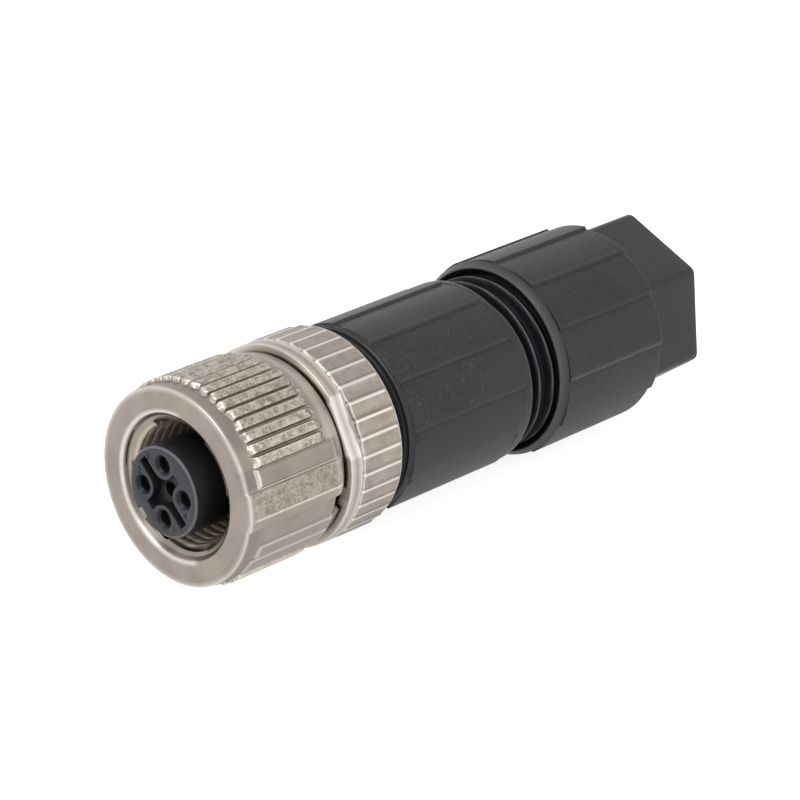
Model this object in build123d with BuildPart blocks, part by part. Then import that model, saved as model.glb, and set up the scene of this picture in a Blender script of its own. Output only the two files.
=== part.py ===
"""Straight five-contact M12 socket connector for field wiring, millimetres.

The axis lies along X. The origin is the centre of the mating face, +X runs back
towards the cable and +Z is up. Angles round the axis are in degrees from +Y to +Z.
"""

import os
from math import cos, radians, sin

from build123d import *

os.makedirs("parts", exist_ok=True)

# Clearances
running = 0.06
sliding = 0.1
seat = 0.05
free_gap = 0.2

# Mating interface
contact_pcd = 5.0
contact_angles = [270, 0, 90, 180]
insert_r = 4.15
insert_length = 8.6
insert_edge = 0.2
pin_hole_r = 0.68
funnel_r = 0.95
funnel_depth = 0.35
key_angle = 315
key_width = 1.1
key_depth = 0.7
cross_width = 0.95
cross_depth = 1.0
long_arm = 3.5
short_arm = 2.4

# Coupling nut
nut_front = 1.4
nut_length = 11.9
nut_r = 8.88
nut_front_bevel = 0.16
nut_thread_r = 6.0
nut_mouth_r = 6.6
nut_rear_wall = 2.7
nut_tail_length = 1.4
nut_tail_r = 8.5
rib_pitch = 7.2
rib_count = 17
rib_height = 0.4
rib_foot = 1.0
rib_top = 0.66
rib_front = 1.6
rib_length = 8.2
rib_field_angle = 95.4
nut_sides = 2
pad_angle = 178.75
pad_half_angle = 11.5
pad_height = 0.36
pad_crest_angle = 183
pad_edge_angle = 1.2
pad_edge_drop = 0.11

# Ribbed metal ring
flange_length = 1.5
flange_r = 9.4
flat_angle = 153.5
flats_across = 17.8
fluted_length = 4.95
ridge_r = 9.65
flute_count = 36
flute_depth = 0.24
ridge_land = 1.2
ridge_phase = 3
hub_r = 6.6
hub_wall = 1.0
clip_groove_depth = 0.5
clip_width = 0.7
clip_r = 7.3
clip_gap_angle = 50
hub_tip = 0.5

# Contact carrier and terminal block
carrier_flange_r = 6.7
carrier_flange_length = 1.6
terminal_r = 6.2
terminal_length = 9.5
socket_r = 0.8
socket_bore_r = 0.52
socket_bore_depth = 5.0
socket_front = 1.3
barrel_r = 1.45
barrel_length = 6.5
barrel_offset = 1.1
barrel_front = 1.0
wire_bore_r = 0.95
wire_bore_depth = 4.6
screw_r = 0.8
screw_length = 1.5
screw_slot_width = 0.3
screw_slot_depth = 0.45
screw_place = 4.4
centre_screw_angle = 45

# Seals
face_seal_wire = 0.5
face_groove_depth = 0.2
carrier_seal_wire = 0.42
housing_seal_wire = 0.3
seal_groove_spare = 0.1

# Housing
joint_inset = 0.425
collar_r = 8.05
collar_length = 1.6
lip_r = 8.55
lip_length = 0.45
land_high_r = 9.0
land_low_r = 8.7
land_count = 12
land_angle = 173
land_length = 14.6
rim_r = 8.85
rim_length = 1.3
rim_bevel = 0.25
thread_r = 8.3
thread_pitch = 1.8
thread_depth = 0.9
thread_crest = 0.25
thread_lead = 1.45
thread_tail = 1.0
thread_turns = 4
chamber_r = 6.0
chamber_length = 9.2
throat_r = 4.6
throat_length = 2.8
guide_rib_count = 4
guide_rib_height = 0.7
guide_rib_width = 0.8

# Cable seal and clamp cage
cable_seal_bore_r = 3.0
cable_seal_length = 2.6
cage_bore_r = 4.4
cage_finger_count = 8
cage_slot_width = 1.1
cage_finger_length = 6.1
cage_hub_length = 3.0
cage_rim_r = 6.9
cage_rim_length = 1.0
cage_rim_back = 0.4
cage_tip_bevel = 0.5

# Cap nut
cap_open_gap = 3.6
cap_travel = 3.0
cap_lip_r = 8.95
cap_lip_length = 0.8
cap_lip_top_r = 9.4
cap_mouth_bevel = 0.45
cap_land_high_r = 9.56
cap_land_low_r = 9.2
cap_land_angle = 149.5
cap_length = 14.2
hex_length = 7.4
hex_across = 15.4
hex_corner_angle = 85.2
hex_corner_round = 0.9
hex_edge_round = 0.3
cable_r = 4.2
cap_shelf_wall = 1.6

# Places along the axis, worked out from the sizes above
nut_rear = nut_front + nut_length
flange_front = nut_rear + free_gap
flange_rear = flange_front + flange_length
ring_rear = flange_rear + fluted_length
clip_rear = nut_rear - nut_rear_wall - free_gap
clip_front = clip_rear - clip_width
hub_front = clip_front - hub_tip
carrier_seat = flange_front + hub_wall
carrier_rear = carrier_seat + carrier_flange_length
terminal_rear = carrier_rear + terminal_length
barrel_x = carrier_rear + barrel_front
screw_x = barrel_x + screw_place
spigot_front = carrier_rear + seat
collar_rear = ring_rear + collar_length
lip_rear = collar_rear + lip_length
lands_rear = lip_rear + land_length
rim_rear = lands_rear + rim_length
thread_rear = rim_rear + thread_lead + thread_pitch * (thread_turns - 1) + thread_tail
chamber_front = terminal_rear + seat
chamber_rear = chamber_front + chamber_length
seal_front = chamber_rear + throat_length
seal_rear = seal_front + cable_seal_length
cap_front = rim_rear + cap_open_gap
cap_lip_rear = cap_front + cap_lip_length
cap_rear = cap_front + cap_length
hex_rear = cap_rear + hex_length
cage_front = seal_rear + cap_travel + seat
cage_fingers_rear = cage_front + cage_finger_length
cage_rear = cage_fingers_rear + cage_hub_length
cage_rim_rear = cage_rear - cage_rim_back
cage_rim_front = cage_rim_rear - cage_rim_length
guide_rib_front = seal_rear + seat

# Radii worked out from the sizes above
hub_bore_r = hub_r - hub_wall
carrier_neck_r = hub_bore_r - sliding
ring_bore_r = carrier_flange_r + sliding
nut_bore_r = hub_r + running
clip_room_r = clip_r + free_gap
housing_bore_r = terminal_r + free_gap
joint_thread_r = (housing_bore_r + ridge_r) / 2 - joint_inset
spigot_r = joint_thread_r - running
seal_bore_r = chamber_r
cable_seal_r = seal_bore_r - seat
cage_r = seal_bore_r - sliding
cap_bore_r = thread_r + running
cage_rim_room_r = cage_rim_r + running
contact_r = contact_pcd / 2
contact_count = len(contact_angles)


def section(points):
    """Closed outline of (x, radius) points in the plane through the axis."""
    with BuildSketch(Plane.XZ) as drawn:
        with BuildLine():
            Polyline(*points, close=True)
        make_face()
    return drawn.sketch


def tube(start, end, inner, outer):
    """Outline of a plain tube, or of a rod where the inner radius is zero."""
    return section([(start, inner), (end, inner), (end, outer), (start, outer)])


def wire_ring(x, centre_r, wire_r):
    """Round section of a sealing ring."""
    with BuildSketch(Plane.XZ) as drawn:
        with Locations((x, centre_r)):
            Circle(wire_r)
    return drawn.sketch


def polar(radius, angle):
    """Point of the cross section at a radius and an angle in degrees."""
    return (radius * cos(radians(angle)), radius * sin(radians(angle)))


def stepped_lands(x, low_r, high_r, count, step_angle):
    """Cross section of grip lands that rise round the body and drop at each step."""
    pitch = 360 / count
    with BuildSketch(Plane.YZ.offset(x)) as drawn:
        with BuildLine():
            for index in range(count):
                start = step_angle + index * pitch
                low = polar(low_r, start)
                middle = polar((low_r + high_r) / 2, start + pitch / 2)
                high = polar(high_r, start + pitch)
                ThreePointArc(low, middle, high)
                Line(high, polar(low_r, start + pitch))
        make_face()
    return drawn.sketch


def finish(part, label):
    """Label a finished piece and write its file."""
    part.label = label
    export_step(part, f"parts/{label}.step")


# Coupling nut: threaded mouth, room for the clip and a plain bore that turns on the hub.
clip_room_front = hub_front - free_gap
pad_low_angle = pad_angle - pad_half_angle
pad_high_angle = pad_angle + pad_half_angle
pad_edge_height = pad_height - pad_edge_drop
with BuildPart() as coupling_nut:
    mouth_depth = nut_mouth_r - nut_thread_r
    revolve(
        section(
            [
                (nut_front, nut_mouth_r),
                (nut_front + mouth_depth, nut_thread_r),
                (clip_room_front, nut_thread_r),
                (clip_room_front, clip_room_r),
                (clip_rear + free_gap, clip_room_r),
                (clip_rear + free_gap, nut_bore_r),
                (nut_rear, nut_bore_r),
                (nut_rear, nut_tail_r),
                (nut_rear - nut_tail_length, nut_r),
                (nut_front + nut_front_bevel, nut_r),
                (nut_front, nut_r - nut_front_bevel),
            ]
        ),
        axis=Axis.X,
    )
    for side in range(nut_sides):
        side_turn = side * 360 / nut_sides
        with BuildSketch(Plane.YZ.offset(nut_front + rib_front)):
            for rib in range(rib_count):
                rib_angle = rib_field_angle + side_turn + (rib - (rib_count - 1) / 2) * rib_pitch
                with PolarLocations(nut_r, 1, start_angle=rib_angle):
                    Polygon(
                        (-rib_height, -rib_foot / 2),
                        (0, -rib_foot / 2),
                        (rib_height, -rib_top / 2),
                        (rib_height, rib_top / 2),
                        (0, rib_foot / 2),
                        (-rib_height, rib_foot / 2),
                        align=None,
                    )
        extrude(amount=rib_length)
    with BuildSketch(Plane.YZ.offset(nut_front)):
        with BuildLine():
            Polyline(
                polar(nut_r - pad_height, pad_low_angle),
                polar(nut_r, pad_low_angle),
                polar(nut_r + pad_edge_height, pad_low_angle + pad_edge_angle),
                polar(nut_r + pad_height, pad_crest_angle),
                polar(nut_r + pad_edge_height, pad_high_angle - pad_edge_angle),
                polar(nut_r, pad_high_angle),
                polar(nut_r - pad_height, pad_high_angle),
                close=True,
            )
        make_face()
    extrude(amount=nut_length)
finish(coupling_nut.part, "coupling_nut")

# Open clip in the hub's groove, which keeps the nut on the hub.
clip_groove_r = hub_r - clip_groove_depth
with BuildPart() as nut_clip:
    revolve(
        tube(clip_front + seat, clip_rear - seat, clip_groove_r + seat, clip_r),
        axis=Axis.X,
        revolution_arc=360 - clip_gap_angle,
    )
finish(nut_clip.part, "nut_clip")

# Ribbed ring: hub for the nut, flange with two spanner flats and a fluted grip.
flute_half = radians(180 / flute_count - ridge_land / 2)
tip_x = ridge_r * cos(flute_half)
tip_y = ridge_r * sin(flute_half)
flute_root_r = ridge_r - flute_depth
cutter_centre = (tip_x**2 + tip_y**2 - flute_root_r**2) / (2 * (tip_x - flute_root_r))
cutter_r = cutter_centre - flute_root_r
with BuildPart() as ribbed_ring:
    revolve(
        section(
            [
                (hub_front, hub_bore_r),
                (carrier_seat, hub_bore_r),
                (carrier_seat, ring_bore_r),
                (spigot_front - free_gap, ring_bore_r),
                (spigot_front - free_gap, joint_thread_r),
                (ring_rear, joint_thread_r),
                (ring_rear, ridge_r),
                (flange_rear, ridge_r),
                (flange_rear, flange_r),
                (flange_front, flange_r),
                (flange_front, hub_r),
                (clip_rear, hub_r),
                (clip_rear, clip_groove_r),
                (clip_front, clip_groove_r),
                (clip_front, hub_r),
                (hub_front, hub_r),
            ]
        ),
        axis=Axis.X,
    )
    with BuildSketch(Plane.YZ.offset(flange_rear)):
        with PolarLocations(cutter_centre, flute_count, start_angle=ridge_phase + 180 / flute_count):
            Circle(cutter_r)
    extrude(amount=fluted_length, mode=Mode.SUBTRACT)
    with BuildSketch(Plane.YZ.offset(flange_front)):
        with PolarLocations(flats_across / 2, 2, start_angle=flat_angle):
            Rectangle(flange_r, 2 * flange_r, align=(Align.MIN, Align.CENTER))
    extrude(amount=flange_length, mode=Mode.SUBTRACT)
finish(ribbed_ring.part, "ribbed_ring")

# Contact carrier: keyed nose with five pin holes, seal groove and rear flange.
seal_groove_half = carrier_seal_wire + seal_groove_spare
seal_ring_r = carrier_neck_r + sliding - seat / 2 - carrier_seal_wire
seal_groove_r = seal_ring_r - carrier_seal_wire - seat
carrier_seal_x = (hub_front + carrier_seat) / 2
contact_hole_r = socket_r + seat
face_groove_r = insert_r - face_groove_depth
face_groove_front = insert_length - 2 * face_seal_wire - seal_groove_spare
with BuildPart() as contact_carrier:
    revolve(
        section(
            [
                (0, 0),
                (carrier_rear, 0),
                (carrier_rear, carrier_flange_r),
                (carrier_seat, carrier_flange_r),
                (carrier_seat, carrier_neck_r),
                (carrier_seal_x + seal_groove_half, carrier_neck_r),
                (carrier_seal_x + seal_groove_half, seal_groove_r),
                (carrier_seal_x - seal_groove_half, seal_groove_r),
                (carrier_seal_x - seal_groove_half, carrier_neck_r),
                (insert_length, carrier_neck_r),
                (insert_length, face_groove_r),
                (face_groove_front, face_groove_r),
                (face_groove_front, insert_r),
                (insert_edge, insert_r),
                (0, insert_r - insert_edge),
            ]
        ),
        axis=Axis.X,
    )
    with BuildSketch(Plane.YZ):
        with PolarLocations(0, 1, start_angle=key_angle):
            Rectangle(2 * short_arm, cross_width)
            Rectangle(cross_width, 2 * long_arm)
    extrude(amount=cross_depth, mode=Mode.SUBTRACT)
    with BuildSketch(Plane.YZ):
        with PolarLocations(insert_r - key_depth, 1, start_angle=key_angle):
            Rectangle(2 * key_depth, key_width, align=(Align.MIN, Align.CENTER))
    extrude(amount=insert_length, mode=Mode.SUBTRACT)
    with BuildSketch(Plane.YZ):
        with PolarLocations(contact_r, contact_count):
            Circle(pin_hole_r)
        Circle(pin_hole_r)
    extrude(amount=socket_front + cross_depth, mode=Mode.SUBTRACT)
    with BuildSketch(Plane.YZ.offset(socket_front)):
        with PolarLocations(contact_r, contact_count):
            Circle(contact_hole_r)
    extrude(amount=carrier_rear, mode=Mode.SUBTRACT)
    with BuildSketch(Plane.YZ.offset(socket_front + cross_depth)):
        Circle(contact_hole_r)
    extrude(amount=carrier_rear, mode=Mode.SUBTRACT)
    with Locations(Plane.YZ):
        with PolarLocations(contact_r, contact_count):
            Cone(
                funnel_r,
                pin_hole_r,
                funnel_depth,
                align=(Align.CENTER, Align.CENTER, Align.MIN),
                mode=Mode.SUBTRACT,
            )
finish(contact_carrier.part, "contact_carrier")

# Terminal block: wire chambers for the clamp barrels, with radial screw holes.
barrel_r_outer = contact_r + barrel_offset
barrel_hole_r = barrel_r + seat
screw_angles = contact_angles + [centre_screw_angle]
screw_hole_r = screw_r + sliding
with BuildPart() as terminal_block:
    revolve(tube(carrier_rear, terminal_rear, 0, terminal_r), axis=Axis.X)
    with BuildSketch(Plane.YZ.offset(carrier_rear)):
        with PolarLocations(contact_r, contact_count):
            Circle(contact_hole_r)
        Circle(contact_hole_r)
    extrude(amount=barrel_front + 2 * seat, mode=Mode.SUBTRACT)
    with BuildSketch(Plane.YZ.offset(barrel_x)):
        with PolarLocations(barrel_r_outer, contact_count):
            Circle(barrel_hole_r)
        Circle(barrel_hole_r)
    extrude(amount=barrel_length + seat, mode=Mode.SUBTRACT)
    with BuildSketch(Plane.YZ.offset(barrel_x + barrel_length)):
        with PolarLocations(barrel_r_outer, contact_count):
            Circle(wire_bore_r)
        Circle(wire_bore_r)
    extrude(amount=terminal_length, mode=Mode.SUBTRACT)
    for screw_angle in screw_angles:
        outward = Vector(0, *polar(1, screw_angle))
        with BuildSketch(Plane(origin=(screw_x, 0, 0), z_dir=outward)):
            Circle(screw_hole_r)
        extrude(amount=terminal_r, mode=Mode.SUBTRACT)
finish(terminal_block.part, "terminal_block")

# Contacts: a slotted socket in front and a clamp barrel with a tapped side hole behind.
contact_places = [polar(contact_r, angle) for angle in contact_angles] + [(0, 0)]
barrel_places = [polar(barrel_r_outer, angle) for angle in contact_angles] + [(0, 0)]
socket_fronts = [socket_front + seat] * contact_count + [socket_front + cross_depth + seat]
for index in range(contact_count + 1):
    contact_y, contact_z = contact_places[index]
    barrel_y, barrel_z = barrel_places[index]
    tip = socket_fronts[index]
    outward = Vector(0, *polar(1, screw_angles[index]))
    with BuildPart() as socket_contact:
        with BuildSketch(Plane.YZ.offset(tip)):
            with Locations((contact_y, contact_z)):
                Circle(socket_r)
        extrude(amount=barrel_x + seat - tip)
        with BuildSketch(Plane.YZ.offset(barrel_x + seat)):
            with Locations((barrel_y, barrel_z)):
                Circle(barrel_r)
        extrude(amount=barrel_length - seat)
        with BuildSketch(Plane.YZ.offset(tip)):
            with Locations((contact_y, contact_z)):
                Circle(socket_bore_r)
        extrude(amount=socket_bore_depth, mode=Mode.SUBTRACT)
        with BuildSketch(Plane.YZ.offset(barrel_x + barrel_length)):
            with Locations((barrel_y, barrel_z)):
                Circle(wire_bore_r)
        extrude(amount=-wire_bore_depth, mode=Mode.SUBTRACT)
        with BuildSketch(Plane(origin=(screw_x, barrel_y, barrel_z), z_dir=outward)):
            Circle(screw_r + seat)
        extrude(amount=2 * barrel_r, mode=Mode.SUBTRACT)
    finish(socket_contact.part, f"socket_contact_{index + 1}")

    # Clamp screw of this contact, with a driver slot in its outer end.
    screw_root = Vector(screw_x, barrel_y, barrel_z) + outward * (wire_bore_r - seat)
    screw_head = Plane(origin=screw_root + outward * screw_length, z_dir=outward)
    with BuildPart() as terminal_screw:
        with BuildSketch(screw_head):
            Circle(screw_r)
        extrude(amount=-screw_length)
        with BuildSketch(screw_head):
            Rectangle(2 * screw_r, screw_slot_width)
        extrude(amount=-screw_slot_depth, mode=Mode.SUBTRACT)
    finish(terminal_screw.part, f"terminal_screw_{index + 1}")

# Sealing rings at the mating face, round the carrier and at the housing joint.
with BuildPart() as face_seal:
    face_seal_x = insert_length - face_seal_wire
    face_seal_r = face_groove_r + seat + face_seal_wire
    revolve(wire_ring(face_seal_x, face_seal_r, face_seal_wire), axis=Axis.X)
finish(face_seal.part, "face_seal")

with BuildPart() as carrier_seal:
    revolve(wire_ring(carrier_seal_x, seal_ring_r, carrier_seal_wire), axis=Axis.X)
finish(carrier_seal.part, "carrier_seal")

housing_seal_x = ring_rear - housing_seal_wire - seal_groove_spare - seat
housing_seal_r = joint_thread_r - seat / 2 - housing_seal_wire
with BuildPart() as housing_seal:
    revolve(wire_ring(housing_seal_x, housing_seal_r, housing_seal_wire), axis=Axis.X)
finish(housing_seal.part, "housing_seal")

# Housing: spigot in the ring, stepped grip lands, wire chamber and external thread.
housing_groove_r = housing_seal_r - housing_seal_wire - seat
housing_groove_front = housing_seal_x - housing_seal_wire - seal_groove_spare
thread_root_r = thread_r - thread_depth
first_crest = rim_rear + thread_lead
thread_profile = []
for turn in range(thread_turns):
    crest = first_crest + turn * thread_pitch
    thread_profile += [
        (crest - thread_pitch / 2 + thread_crest / 2, thread_root_r),
        (crest - thread_crest / 2, thread_r),
        (crest + thread_crest / 2, thread_r),
        (crest + thread_pitch / 2 - thread_crest / 2, thread_root_r),
    ]
with BuildPart() as housing:
    revolve(
        section(
            [
                (spigot_front, 0),
                (thread_rear, 0),
                (thread_rear, thread_root_r),
            ]
            + thread_profile[::-1]
            + [
                (rim_rear, thread_root_r),
                (rim_rear, rim_r - rim_bevel),
                (rim_rear - rim_bevel, rim_r),
                (lands_rear, rim_r),
                (lands_rear, collar_r),
                (lip_rear, collar_r),
                (lip_rear, lip_r),
                (collar_rear, lip_r),
                (collar_rear, collar_r),
                (ring_rear, collar_r),
                (ring_rear, housing_groove_r),
                (housing_groove_front, housing_groove_r),
                (housing_groove_front, spigot_r),
                (spigot_front, spigot_r),
            ]
        ),
        axis=Axis.X,
    )
    extrude(
        stepped_lands(lip_rear, land_low_r, land_high_r, land_count, land_angle),
        amount=land_length,
    )
    revolve(
        section(
            [
                (spigot_front, 0),
                (spigot_front, housing_bore_r),
                (chamber_front, housing_bore_r),
                (chamber_front, chamber_r - seat),
                (chamber_rear, chamber_r - seat),
                (chamber_rear, throat_r),
                (seal_front, throat_r),
                (seal_front, seal_bore_r),
                (thread_rear, seal_bore_r),
                (thread_rear, 0),
            ]
        ),
        axis=Axis.X,
        mode=Mode.SUBTRACT,
    )
    with BuildSketch(Plane.YZ.offset(guide_rib_front)):
        with PolarLocations(seal_bore_r - guide_rib_height, guide_rib_count):
            Rectangle(2 * guide_rib_height, guide_rib_width, align=(Align.MIN, Align.CENTER))
    extrude(amount=thread_rear - guide_rib_front)
finish(housing.part, "housing")

# Rubber cable seal on the seat in front of the clamp.
with BuildPart() as cable_seal:
    revolve(tube(seal_front, seal_rear, cable_seal_bore_r, cable_seal_r), axis=Axis.X)
finish(cable_seal.part, "cable_seal")

# Clamp cage: fingers that slide between the housing's guide ribs, held in the cap by a rim.
with BuildPart() as clamp_cage:
    revolve(
        section(
            [
                (cage_front, cage_bore_r),
                (cage_rear, cage_bore_r),
                (cage_rear, cage_r),
                (cage_rim_rear, cage_r),
                (cage_rim_rear, cage_rim_r),
                (cage_rim_front, cage_rim_r),
                (cage_rim_front, cage_r),
                (cage_front + cage_tip_bevel, cage_r),
                (cage_front, cage_r - cage_tip_bevel),
            ]
        ),
        axis=Axis.X,
    )
    with BuildSketch(Plane.YZ.offset(cage_front)):
        with PolarLocations(0, cage_finger_count):
            Rectangle(cage_rim_r, cage_slot_width, align=(Align.MIN, Align.CENTER))
    extrude(amount=cage_finger_length, mode=Mode.SUBTRACT)
finish(clamp_cage.part, "clamp_cage")

# Cap nut: stepped lands outside, thread bore and cage groove inside, spanner hexagon behind.
cage_room_rear = cage_rear + free_gap
cage_shelf_front = cage_rim_front - running - cap_shelf_wall
cage_shelf_r = cage_r + sliding
with BuildPart() as cap_nut:
    revolve(
        section(
            [
                (cap_front, 0),
                (cap_front, cap_lip_r),
                (cap_lip_rear, cap_lip_top_r),
                (cap_lip_rear, cap_land_low_r),
                (cap_rear, cap_land_low_r),
                (cap_rear, 0),
            ]
        ),
        axis=Axis.X,
    )
    extrude(
        stepped_lands(cap_lip_rear, cap_land_low_r, cap_land_high_r, land_count, cap_land_angle),
        amount=cap_length - cap_lip_length,
    )
    with BuildSketch(Plane.YZ.offset(cap_rear)):
        RegularPolygon(hex_across / 2, 6, major_radius=False, rotation=hex_corner_angle)
    extrude(amount=hex_length)
    hex_edges = cap_nut.edges().filter_by(Axis.X).filter_by_position(Axis.X, cap_rear, hex_rear)
    fillet(hex_edges, hex_corner_round)
    fillet(cap_nut.faces().sort_by(Axis.X)[-1].edges(), hex_edge_round)
    revolve(
        section(
            [
                (cap_front, 0),
                (cap_front, cap_bore_r + cap_mouth_bevel),
                (cap_front + cap_mouth_bevel, cap_bore_r),
                (cage_shelf_front, cap_bore_r),
                (cage_shelf_front, 0),
            ]
        ),
        axis=Axis.X,
        mode=Mode.SUBTRACT,
    )
    revolve(
        tube(cage_shelf_front, cage_room_rear, 0, cage_shelf_r),
        axis=Axis.X,
        mode=Mode.SUBTRACT,
    )
    revolve(
        tube(cage_rim_front - running, cage_rim_rear + running, 0, cage_rim_room_r),
        axis=Axis.X,
        mode=Mode.SUBTRACT,
    )
    revolve(tube(cage_room_rear, hex_rear, 0, cable_r), axis=Axis.X, mode=Mode.SUBTRACT)
finish(cap_nut.part, "cap_nut")
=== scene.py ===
"""The finished look of the M12 connector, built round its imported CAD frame.

Outlines are (x, radius) in millimetres and turns are degrees, as in the part's source:
X runs back along the axis, and a turn goes round it from +Y to +Z.
"""

from math import cos, degrees, hypot, pi, radians, sin, sqrt, tan

import bmesh
import bpy
import numpy as np
from mathutils import Matrix, Vector


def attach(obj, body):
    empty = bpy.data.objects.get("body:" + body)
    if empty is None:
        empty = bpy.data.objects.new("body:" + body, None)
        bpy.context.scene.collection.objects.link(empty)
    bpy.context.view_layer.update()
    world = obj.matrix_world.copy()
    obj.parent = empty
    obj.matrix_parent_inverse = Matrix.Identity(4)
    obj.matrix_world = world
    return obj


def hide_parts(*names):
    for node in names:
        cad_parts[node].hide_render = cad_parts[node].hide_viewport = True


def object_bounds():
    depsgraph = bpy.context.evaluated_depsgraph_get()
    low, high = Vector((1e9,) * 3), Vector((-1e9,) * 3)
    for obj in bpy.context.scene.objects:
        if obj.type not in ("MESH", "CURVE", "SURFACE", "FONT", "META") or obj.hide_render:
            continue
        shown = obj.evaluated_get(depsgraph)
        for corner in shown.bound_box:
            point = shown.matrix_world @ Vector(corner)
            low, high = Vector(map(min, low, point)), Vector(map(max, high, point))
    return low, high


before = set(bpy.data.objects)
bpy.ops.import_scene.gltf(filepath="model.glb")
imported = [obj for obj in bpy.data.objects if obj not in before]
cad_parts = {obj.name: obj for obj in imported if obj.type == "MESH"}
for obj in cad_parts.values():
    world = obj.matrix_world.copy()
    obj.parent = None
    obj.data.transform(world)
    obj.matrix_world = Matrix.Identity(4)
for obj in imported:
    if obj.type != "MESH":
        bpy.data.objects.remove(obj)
cad_box = [list(corner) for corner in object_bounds()]

MM = 0.001


class Term:
    """A number in a node tree. Arithmetic on it adds the math nodes."""

    def __init__(self, tree, socket):
        self.tree = tree
        self.socket = socket

    def math(self, operation, *others):
        return combine(self.tree, operation, self, *others)

    def __add__(self, other):
        return self.math("ADD", other)

    def __sub__(self, other):
        return self.math("SUBTRACT", other)

    def __rsub__(self, other):
        return combine(self.tree, "SUBTRACT", other, self)

    def __mul__(self, other):
        return self.math("MULTIPLY", other)

    def __truediv__(self, other):
        return self.math("DIVIDE", other)

    def __rtruediv__(self, other):
        return combine(self.tree, "DIVIDE", other, self)

    def wrap(self, span):
        """The remainder within 0 to span."""
        return self.math("FLOORED_MODULO", span)

    def size(self):
        return self.math("ABSOLUTE")

    def least(self, other):
        return self.math("MINIMUM", other)

    def most(self, other):
        return self.math("MAXIMUM", other)

    def inverse(self):
        """One less the number, for a mask."""
        return 1 - self

    def rise(self, low, high):
        """A mask: 0 below low, 1 above high, eased between them."""
        node = self.tree.nodes.new("ShaderNodeMapRange")
        node.interpolation_type = "SMOOTHSTEP"
        for value, name in ((self, "Value"), (low, "From Min"), (high, "From Max")):
            feed(self.tree, value, node.inputs[name])
        return Term(self.tree, node.outputs[0])

    def within(self, low, high, ease):
        """A mask: 1 from low to high, eased to 0 on the outer side of both."""
        return self.rise(low - ease, low) * self.rise(high, high + ease).inverse()


def mixed(*layers):
    """One mask from (mask, strength) layers, held to 1."""
    total = 0
    for mask, strength in layers:
        total = mask * strength + total
    return total.least(1)


def combine(tree, operation, *values):
    """A math node over numbers and terms."""
    node = tree.nodes.new("ShaderNodeMath")
    node.operation = operation
    for value, socket in zip(values, node.inputs):
        feed(tree, value, socket)
    return Term(tree, node.outputs[0])


def feed(tree, value, socket):
    """Set a socket to a number, or link it to a term or another socket."""
    if isinstance(value, Term):
        tree.links.new(value.socket, socket)
    elif isinstance(value, bpy.types.NodeSocket):
        tree.links.new(value, socket)
    else:
        socket.default_value = value


def noise(tree, place, scale, detail=2.0, seed=0.0):
    """A noise of 0 to 1 over a place, with its grain about 1 / scale wide."""
    node = tree.nodes.new("ShaderNodeTexNoise")
    node.noise_dimensions = "4D"
    feed(tree, place, node.inputs["Vector"])
    feed(tree, seed, node.inputs["W"])
    feed(tree, scale, node.inputs["Scale"])
    feed(tree, detail, node.inputs["Detail"])
    return Term(tree, node.outputs[0])


def eased_outline(corners, reach):
    """Closed outline of (x, radius) points from (x, radius, ease) corners, rounded from that far off.

    No straight run is longer than reach. A fourth value of a corner lists the places along X
    of the points on the run that starts there.
    """
    count = len(corners)
    rounded = []
    for index, (x, radius, ease, *places) in enumerate(corners):
        here = np.array([x, radius])
        if not ease:
            rounded.append([here])
            continue
        before = np.array(corners[index - 1][:2]) - here
        after = np.array(corners[(index + 1) % count][:2]) - here
        start = here + before / hypot(*before) * ease
        end = here + after / hypot(*after) * ease
        steps = np.linspace(0, 1, 5)
        rounded.append([(1 - t) ** 2 * start + 2 * t * (1 - t) * here + t**2 * end for t in steps])
    outline = []
    for index, bend in enumerate(rounded):
        outline.extend(bend)
        start, end = bend[-1], rounded[(index + 1) % count][0]
        places = corners[index][3] if len(corners[index]) > 3 else ()
        low, high = sorted((start[0], end[0]))
        if len(places):
            shares = [(place - start[0]) / (end[0] - start[0]) for place in places if low < place < high]
        else:
            pieces = max(1, round(hypot(*(end - start)) / reach))
            shares = [piece / pieces for piece in range(1, pieces)]
        outline.extend(start + (end - start) * share for share in sorted(shares))
    return outline


def turned_blank(name, outline, turns):
    """Closed blank turned from an outline, with a row of points at each turn."""
    x, radius = np.array(outline).T * MM
    angle = np.radians(turns)
    rows, columns = len(x), len(angle)
    points = np.empty((rows, columns, 3))
    points[..., 0] = x[:, None]
    points[..., 1] = radius[:, None] * np.cos(angle)
    points[..., 2] = radius[:, None] * np.sin(angle)
    faces = []
    for row in range(rows):
        below, above = row * columns, (row + 1) % rows * columns
        for column in range(columns):
            beside = (column + 1) % columns
            faces.append((below + column, below + beside, above + beside, above + column))
    mesh = bpy.data.meshes.new(name)
    mesh.from_pydata(points.reshape(-1, 3), [], faces)
    tidied(mesh).shade_smooth()
    return link(name, mesh)


def tidied(mesh, merge=0.0, flatten=0.0):
    """The mesh with its faces outward.

    Points closer than merge, and faces whose turn is under the angle flatten, are joined first.
    """
    work = bmesh.new()
    work.from_mesh(mesh)
    if merge:
        bmesh.ops.remove_doubles(work, verts=work.verts, dist=merge)
    if flatten:
        bmesh.ops.dissolve_limit(work, angle_limit=flatten, verts=work.verts, edges=work.edges)
    bmesh.ops.recalc_face_normals(work, faces=work.faces)
    work.to_mesh(mesh)
    work.free()
    return mesh


def ray_mask(tree, *kinds):
    """A mask: 1 for rays of any of these kinds."""
    path = tree.nodes.new("ShaderNodeLightPath")
    mask, *others = (Term(tree, path.outputs[f"Is {kind} Ray"]) for kind in kinds)
    for other in others:
        mask = mask.most(other)
    return mask


def link(name, data):
    """New object over data, in the scene."""
    piece = bpy.data.objects.new(name, data)
    bpy.context.scene.collection.objects.link(piece)
    return piece


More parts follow.
